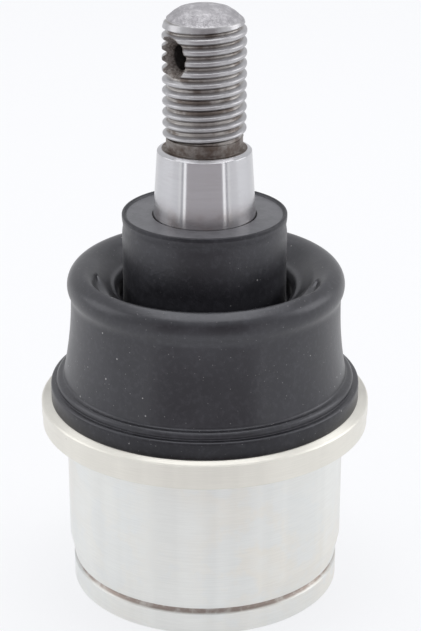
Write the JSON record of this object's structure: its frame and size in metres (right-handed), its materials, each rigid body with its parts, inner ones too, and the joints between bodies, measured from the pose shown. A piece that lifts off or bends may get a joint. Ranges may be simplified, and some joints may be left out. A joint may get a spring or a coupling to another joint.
{
  "type": "suspension ball joint",
  "caption": "Press-in suspension ball joint: flanged steel housing, tapered threaded ball stud with split pin hole, rubber dust boot with a thick collar.",
  "frame": {"origin": "centre of the housing's bottom lip, on the face it stands on", "axes": "+Z along the housing's axis towards the stud's tip; the stud tilts about the X axis at rest"},
  "size_m": [0.064, 0.064, 0.1166],
  "materials": {
    "turned_steel": "turned, zinc plated, satin",
    "ground_steel": "ground taper, rolled thread",
    "dark_steel": "plain pressed steel, lightly oiled",
    "spring_steel": "hardened spring steel",
    "boot_rubber": "soft moulded rubber, satin",
    "collar_rubber": "harder moulded rubber, matte",
    "bearing_plastic": "natural acetal"
  },
  "bodies": {
    "housing_body": {"housing": "turned_steel", "cover_plate": "dark_steel", "cover_seal": "boot_rubber", "preload_spring": "spring_steel", "upper_bearing": "bearing_plastic", "boot_base_ring": "dark_steel", "dust_boot": "boot_rubber"},
    "pressure_seat": {"lower_bearing": "bearing_plastic"},
    "boot_neck": {"boot_collar": "collar_rubber", "neck_ring": "spring_steel"},
    "stud": {"ball_stud": "ground_steel"}
  },
  "joints": [
    {"name": "swing_direction", "type": "hinge", "parent": "housing_body", "child": "pressure_seat", "pos_m": [0, 0, 0.02586], "axis": [0, 0, 1], "continuous": true},
    {"name": "stud_tilt", "type": "hinge", "parent": "pressure_seat", "child": "boot_neck", "pos_m": [0, 0, 0.02586], "axis": [1, 0, 0], "range_deg": [-20, 20], "deforming": ["dust_boot"]},
    {"name": "stud_spin", "type": "hinge", "parent": "boot_neck", "child": "stud", "pos_m": [0, 0, 0.02586], "axis": [0, 0, 1], "continuous": true}
  ]
}
